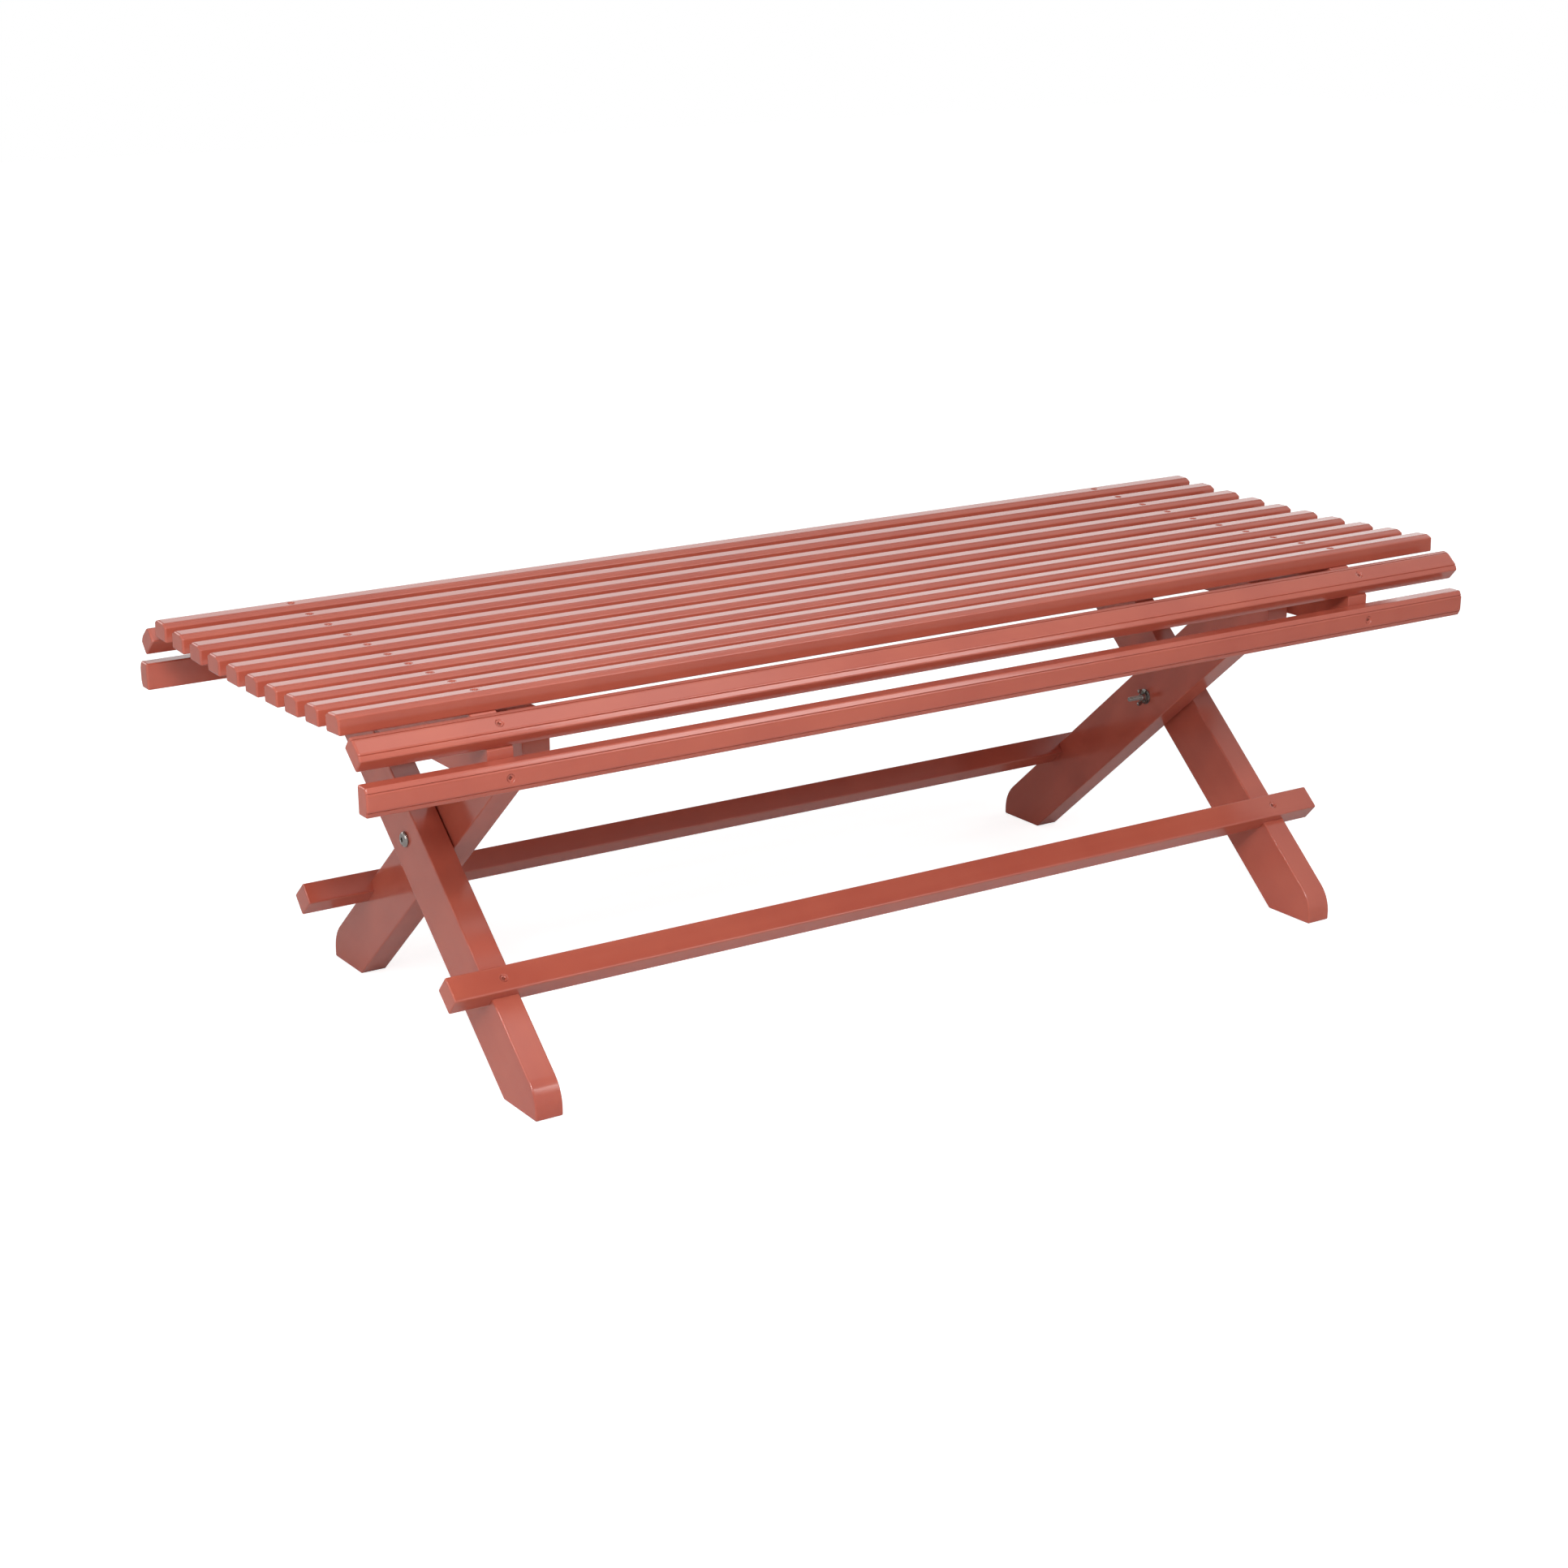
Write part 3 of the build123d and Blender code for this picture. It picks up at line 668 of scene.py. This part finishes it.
# %% Bearers
BEARER_THICKNESS, BEARER_ARRIS = 30.0, 1.0
CREST_ROUND, LOWER_ROUND = 1.6, 2.0
bearer_bottom_z = bearer_corner_z - (VERTICAL_DROP + SLAT_WIDTH - VERTICAL_LIP)


def bearer_outline():
    """Both edges of every slat's underside in order, then the lower corners."""
    flats = [(place[1] + reach * math.cos(tilt), place[2] + reach * math.sin(tilt))
             for place, tilt in map(seat_station, range(SLAT_COUNT)) for reach in (-edge, edge)]
    back_end = [(bearer_half, bearer_corner_z), (bearer_half, bearer_bottom_z)]
    front_end = [(-bearer_half, bearer_bottom_z), (-bearer_half, bearer_corner_z)]
    radii = [CREST_ROUND] * (len(flats) + 1) + [LOWER_ROUND, LOWER_ROUND, CREST_ROUND]
    return rounded(flats + back_end + front_end, radii, 4)


bearer_shape = board(bearer_outline(), BEARER_THICKNESS, BEARER_ARRIS)
for name, side in (("left", -1), ("right", 1)):
    upright_board = placed(bearer_shape, (side * BEARER_MIDDLE_X, 0, 0),
                           [[0, 1, 0], [0, 0, 1], [1, 0, 0]])
    dress(f"bearer_{name}", [upright_board], paint)
print(f"bearer: {2 * bearer_half:.1f} mm long, lower edge at {bearer_bottom_z:.1f} mm")

# %% [markdown]
# ## Legs
# A leg is a straight board that crosses its partner at the bolt. Its foot is cut level with the
# floor with a long round at the toe, its top is rounded to clear the slats, and a notch takes the
# stretcher. The notch was sawn after the edges were eased, so its own edges stay crisp. A Boolean
# could cut it, but the grid stays whole if the notch is part of the outline: there the mitre is
# set to nothing, and at its mouth the points only follow the arris down.

# %% Legs
CROSSING_Z, HINGE_Y, HINGE_Z = 236.0, 194.0, bearer_bottom_z + 35.0
LEG_WIDTH, LEG_THICKNESS, LEG_ARRIS = 70.0, 33.0, 1.5
SOLE_LENGTH, TIP_REACH, TIP_RISE = 72.5, 24.0, 16.0
SAWN_ROUND, TOE_ROUND, TIP_ROUND, ARC_STEPS = 2.2, 45.0, 12.0, 12
OUTER_LEG_X, INNER_LEG_X = 552.5, 517.5
STRETCHER_ALONG, STRETCHER_WIDTH, STRETCHER_DEPTH, LET_IN = 215.5, 31.0, 26.5, 13.0
LEG_ANGLE = math.atan2(HINGE_Z - CROSSING_Z, HINGE_Y)
uphill = np.array([math.cos(LEG_ANGLE), math.sin(LEG_ANGLE)])
outhill = np.array([-math.sin(LEG_ANGLE), math.cos(LEG_ANGLE)])


def leg_corners():
    """Corners in the leg's own directions, along and out: (y, height over the crossing) times both
    axes. Heel, toe, the toe's round, shoulder and tip, in this order."""
    half_rise, slope = LEG_WIDTH / 2 / math.cos(LEG_ANGLE), math.tan(LEG_ANGLE)
    heel_y = (half_rise - CROSSING_Z) / slope
    toe_y, tip_y = heel_y - SOLE_LENGTH, HINGE_Y + TIP_REACH
    tip_rise = HINGE_Z + TIP_RISE - CROSSING_Z
    shoulder_y = (tip_rise - half_rise) / slope
    side = [(heel_y, -CROSSING_Z), (toe_y, -CROSSING_Z), (toe_y, half_rise + toe_y * slope),
            (shoulder_y, tip_rise), (tip_y, tip_rise), (tip_y, tip_y * slope - half_rise)]
    return np.array(side) @ np.column_stack([uphill, outhill])


def leg_shape():
    """Rounded corners with the notch put in after the toe's arc, as one outline and its mitre."""
    radii = [SAWN_ROUND, SAWN_ROUND, TOE_ROUND, TIP_ROUND, SAWN_ROUND, SAWN_ROUND]
    outline = rounded(leg_corners(), radii, ARC_STEPS)
    top, floor_of_notch = LEG_WIDTH / 2, LEG_WIDTH / 2 - LET_IN
    low, high = -STRETCHER_ALONG - STRETCHER_WIDTH / 2, -STRETCHER_ALONG + STRETCHER_WIDTH / 2
    notch = np.array([[low, top], [low, floor_of_notch], [high, floor_of_notch], [high, top]])
    held = np.array([[0, -1.0], [0, 0], [0, 0], [0, -1.0]])
    after_toe = [3 * ARC_STEPS]
    mitre = np.insert(inward(outline), after_toe, held, axis=0)
    return board(np.insert(outline, after_toe, notch, axis=0), LEG_THICKNESS, LEG_ARRIS, mitre)


leg = leg_shape()
leg_axes = {"outer": [[0, *uphill], [0, *outhill], [1, 0, 0]],
            "inner": [[0, -uphill[0], uphill[1]], [0, -outhill[0], outhill[1]], [1, 0, 0]]}
for layer, x in (("outer", OUTER_LEG_X), ("inner", INNER_LEG_X)):
    for name, side in (("left", -1), ("right", 1)):
        crossed = placed(leg, (side * x, 0, CROSSING_Z), leg_axes[layer])
        dress(f"{layer}_leg_{name}", [crossed], paint)
print("leg angle:", round(math.degrees(LEG_ANGLE), 2), "degrees")

# %% [markdown]
# ## Stretchers
# A stretcher is a plain bar, eased all round and let 13 mm into the legs, with one countersunk
# screw through it into each leg. It could be a board like the leg, but its screws want the dimple
# that a bar has, so it uses the same function as the slats, with a rectangular section.

# %% Stretchers and their screws
STRETCHER_OVERHANG, STRETCHER_ARRIS, STRAIGHT_FROM = 11.0, 1.6, 2.4
FACE_REACH, FACE_POINTS = 5.5, 23
BEARER_OUTER_X = BEARER_MIDDLE_X + BEARER_THICKNESS / 2
BEARER_INNER_X = BEARER_MIDDLE_X - BEARER_THICKNESS / 2
STRETCHER_LENGTH = 2 * (BEARER_OUTER_X + STRETCHER_OVERHANG)


def stretcher_section():
    """A rounded rectangle about the origin, with a point before and after each arc to keep the
    sides flat, and its upper face finely divided for the screws' countersinks."""
    half = np.array([STRETCHER_WIDTH, STRETCHER_DEPTH]) / 2
    signs = np.array([[1, 1], [1, -1], [-1, -1], [-1, 1]])
    arcs = rounded(signs * half, [STRETCHER_ARRIS] * 4, 6).reshape(4, 6, 2)
    before = signs * half - STRAIGHT_FROM * np.array([[1, 0], [0, -1], [-1, 0], [0, 1]])
    after = signs * half - STRAIGHT_FROM * np.array([[0, 1], [1, 0], [0, -1], [-1, 0]])
    y = np.linspace(-FACE_REACH, FACE_REACH, FACE_POINTS)
    face = np.column_stack([y, np.full(FACE_POINTS, half[1])])
    return np.vstack([face, *[np.vstack([before[k], arcs[k], after[k]]) for k in range(4)]])


for name, x, layer in (("front", OUTER_LEG_X, "outer"), ("rear", INNER_LEG_X, "inner")):
    across = leg_axes[layer]
    axes = [[1, 0, 0], across[0], across[1]]
    in_leg = np.array([-STRETCHER_ALONG, LEG_WIDTH / 2 - LET_IN + STRETCHER_DEPTH / 2])
    middle = np.array([0, 0, CROSSING_Z]) + in_leg @ across[:2]
    shape = bar(stretcher_section(), STRETCHER_LENGTH, STRETCHER_ARRIS, (-x, x),
                STRETCHER_DEPTH / 2)
    dress(f"stretcher_{name}", [placed(shape, middle, axes)], paint)
    heads = [set_on(head, (side * x, 0, STRETCHER_DEPTH / 2), middle, axes) for side in (-1, 1)]
    dress(f"stretcher_screws_{name}", heads, paint_on_screws)
print("stretchers:", STRETCHER_LENGTH, "mm long")

# %% [markdown]
# ## Bolts
# The bolts have a low domed head with a hexagon socket and a rolled thread. A profile with a Screw
# modifier is the usual way to a thread. Here head and thread are one stack of rings. It starts as
# a hexagon in the socket and becomes round on the dome, and down the thread its radius follows a
# wave that moves on by one pitch with each turn round the bolt.

# %% Bolt shapes
BOLT_RADIUS, THREAD_PITCH, THREAD_DEPTH, TIP_CHAMFER = 3.0, 1.0, 0.55, 0.7
RINGS_PER_PITCH = 10
BORE_RADIUS, SOCKET_WIDTH, LIP_WIDTH = 3.1, 5.4, 5.8
AROUND = np.linspace(0, 2 * np.pi, 60, endpoint=False)


def hexagon(width):
    """Radius of a hexagon at each angle: half the width over the cosine of the angle from the
    nearest flat."""
    return width / 2 / np.cos((AROUND + np.pi / 6) % (np.pi / 3) - np.pi / 6)


def turned(radius, height):
    """Rings about z: a row of radii (one per angle, or one for all) at each height."""
    radius = np.broadcast_to(np.asarray(radius, float), (len(height), len(AROUND)))
    z = np.broadcast_to(np.asarray(height, float)[:, None], radius.shape)
    return np.dstack([radius * np.cos(AROUND), radius * np.sin(AROUND), z])


def threaded(start, end):
    """Rings down a thread: radius less half the thread's depth times one minus the wave's cosine,
    the groove fading in over the first pitch and the tip drawn in by its chamfer."""
    height = np.arange(start, end, -THREAD_PITCH / RINGS_PER_PITCH)
    wave = (1 - np.cos(2 * np.pi * height[:, None] / THREAD_PITCH + AROUND)) / 2
    depth = THREAD_DEPTH * np.clip((start - height) / THREAD_PITCH, 0, 1)
    chamfer = np.clip(TIP_CHAMFER - (height - end), 0, TIP_CHAMFER)
    radius = np.minimum(BOLT_RADIUS - depth[:, None] * wave, (BOLT_RADIUS - chamfer)[:, None])
    return turned(radius, height)


def domed_bolt(length, thread_length):
    """Socket floor, socket wall and its lip, the dome's arc, the rim, the shank, then the thread.
    The dome is a quarter ellipse 5.1 wide and 3.6 high, and the lip lies between hexagon and
    circle."""
    socket, lip = hexagon(SOCKET_WIDTH), (hexagon(LIP_WIDTH) + 3.0) / 2
    turn = np.linspace(0, np.pi / 2, 12)[1:]
    inside = turned(np.array([0.96 * socket, socket, socket, lip]), [2.0, 2.1, 4.35, 4.6])
    radius = np.r_[3.7, 3.9 + 5.1 * np.sin(turn), 9.0, 8.85, 8.6, BORE_RADIUS, BOLT_RADIUS]
    height = np.r_[4.6, 1.0 + 3.6 * np.cos(turn), 0.5, 0.1, 0.0, 0.0, -0.3]
    thread = threaded(thread_length - length, -length)
    return skin(np.concatenate([inside, turned(radius[:, None], height), thread]))


print("bolt: radius", BOLT_RADIUS, "mm, thread pitch", THREAD_PITCH, "mm")

# %% [markdown]
# ## Washers and nuts
# A washer is stamped, so its outer corners are soft, and a nut's are cut to a cone at both ends.
# Blender's own cylinder would need its hole cut out. A section carried once round the axis and
# joined to itself has the hole from the start.

# %% Washers, sleeves and nuts
WASHER_RADIUS, WASHER_THICKNESS, WASHER_RIM = 10.0, 1.6, 0.25
NUT_WIDTH, NUT_HEIGHT, CONE_RADIUS, CONE_SLOPE = 10.0, 6.0, 4.8, 1.7


def ring_shape(thickness):
    """A washer or sleeve down z: a rectangle with rounded outer corners, carried round and joined
    to itself."""
    turn = np.linspace(0, np.pi / 2, 4)
    out, drop = WASHER_RIM * (np.sin(turn) - 1), WASHER_RIM * (np.cos(turn) - 1)
    r = np.r_[BORE_RADIUS, BORE_RADIUS, WASHER_RADIUS + out, WASHER_RADIUS + drop]
    z = np.r_[-thickness, 0, drop, -thickness - out]
    return skin(turned(r[:, None], z), joined=True)


def hex_nut_shape():
    """Hexagon with 30 degree chamfers: the radius is the smaller of the hexagon's and that of a
    cone at the nearer end, which widens by CONE_SLOPE for each millimetre along the nut."""
    z = np.r_[0, 0, -0.25, -0.55, -0.9, -NUT_HEIGHT / 2]
    z = np.r_[z, -NUT_HEIGHT - z[-2::-1]]
    cone = CONE_RADIUS + np.minimum(-z, NUT_HEIGHT + z) * CONE_SLOPE
    radius = np.minimum(hexagon(NUT_WIDTH), cone[:, None])
    radius[[0, -1]] = BORE_RADIUS
    return skin(turned(radius, z), joined=True)


print("washer:", len(ring_shape(WASHER_THICKNESS)[0]), "points; nut:", len(hex_nut_shape()[0]))

# %% [markdown]
# ## Hardware in place
# The bolts lie along the bench's length. Those on the left side are mirror images of those on the
# right, so one function sets both. The crossing bolt could be one piece, but then it would tie the
# two pairs of legs together. It is parted between them, so that each half stays with its own leg.

# %% Bolts, washers and nuts
SIDE_PLAY, PAST_WASHER, HINGE_THREAD = 0.3, 8.0, 12.0
CROSSING_BOLT, CROSSING_THREAD, CROSSING_SPACER = 34.7, 0.8, 1.7
END_PLAIN, END_THREAD_FROM, END_LENGTH = 24.0, 25.0, 61.0


def both_sides(shape, x, y, z):
    """A shape whose z points outwards along x, at x and mirrored at -x."""
    return [placed(shape, (side * x, y, z), [[0, 0, 1], [0, 1, 0], [side, 0, 0]])
            for side in (1, -1)]


half_leg = LEG_THICKNESS / 2
hinge_parts = {"hinge_bolts": [], "hinge_sleeves": [], "hinge_washers": [], "hinge_nuts": []}
for y, leg_x in ((HINGE_Y, OUTER_LEG_X - half_leg), (-HINGE_Y, INNER_LEG_X - half_leg)):
    washer_x = leg_x - SIDE_PLAY
    length = BEARER_OUTER_X - washer_x + WASHER_THICKNESS + PAST_WASHER
    sleeve_length = BEARER_INNER_X - leg_x - LEG_THICKNESS - SIDE_PLAY
    parts = {
        "hinge_bolts": (domed_bolt(length, HINGE_THREAD), BEARER_OUTER_X),
        "hinge_sleeves": (ring_shape(sleeve_length), BEARER_INNER_X),
        "hinge_washers": (ring_shape(WASHER_THICKNESS), washer_x),
        "hinge_nuts": (hex_nut_shape(), washer_x - WASHER_THICKNESS),
    }
    for node, (shape, x) in parts.items():
        hinge_parts[node] += both_sides(shape, x, y, HINGE_Z)
for node, shapes in hinge_parts.items():
    dress(node, shapes, steel)

plain_end = turned(np.full((2, 1), BOLT_RADIUS), [0.0, -END_PLAIN])
bolt_end = skin(np.concatenate([plain_end, threaded(-END_THREAD_FROM, -END_LENGTH)]))
crossing = {
    "crossing_bolt_heads": (domed_bolt(CROSSING_BOLT, CROSSING_THREAD), OUTER_LEG_X + half_leg),
    "crossing_spacers": (ring_shape(CROSSING_SPACER), OUTER_LEG_X - half_leg),
    "crossing_bolt_ends": (bolt_end, INNER_LEG_X + half_leg),
    "crossing_washers": (ring_shape(WASHER_THICKNESS), INNER_LEG_X - half_leg),
}
for node, (shape, x) in crossing.items():
    dress(node, both_sides(shape, x, 0, CROSSING_Z), steel)
print(sum(map(len, hinge_parts.values())) + 2 * len(crossing), "pieces of hardware on the bolts")

# %% [markdown]
# ## Wing nuts
# A wing nut is die-cast: a tapered hub with a bore, and two ears that lean outwards. Casting
# leaves every edge round, so sculpting it from a block would mean bevels all over. The hub is
# turned instead, and each ear is a small board with soft edges that runs a little way into the
# hub.

# %% Wing nuts
EAR_THICKNESS, EAR_ARRIS = 2.4, 0.6


def wing_nut_shapes():
    """Hub: a turned ring, wide foot and narrower top. Ear: a rounded outline, once each side."""
    r = np.r_[3.08, 3.08, 3.5, 4.0, 4.25, 4.6, 5.0, 5.2, 5.25, 5.1, 4.7]
    z = np.r_[0.1, 6.6, 7.0, 7.0, 6.6, 3.6, 1.6, 0.9, 0.5, 0.15, 0.0]
    corners = [(3.9, 0.9), (6.6, 1.3), (11.0, 6.0), (11.0, 11.0), (6.9, 11.0), (3.9, 6.1)]
    ear = board(rounded(corners, [1.2, 3.0, 3.0, 2.0, 1.9, 1.2], 6), EAR_THICKNESS, EAR_ARRIS)
    return skin(turned(r[:, None], z), joined=True), ear


hub, ear = wing_nut_shapes()
for name, side in (("left", -1), ("right", 1)):
    place = (side * (INNER_LEG_X - half_leg - WASHER_THICKNESS - SIDE_PLAY), 0, CROSSING_Z)
    shapes = [placed(hub, place, [[0, 1, 0], [0, 0, 1], [-side, 0, 0]])]
    shapes += [placed(ear, place, [[0, 0, up_or_down], [-side, 0, 0], [0, 1, 0]])
               for up_or_down in (-1, 1)]
    dress(f"wing_nut_{name}", shapes, steel)
print("wing nut: hub", len(hub[0]), "points, ear", len(ear[0]))

# %% [markdown]
# ## Finish
# Every CAD node now has a finished piece in its place. The nodes stay in the file for collisions,
# so they take the same paint or steel. Each is told from its name: what belongs to a bolt is
# steel, and the rest is painted.

# %% Materials of the CAD nodes
for name, node in frame["nodes"].items():
    node.data.materials.clear()
    node.data.materials.append(
        steel if name.startswith(("hinge_", "crossing_", "wing_")) else paint)
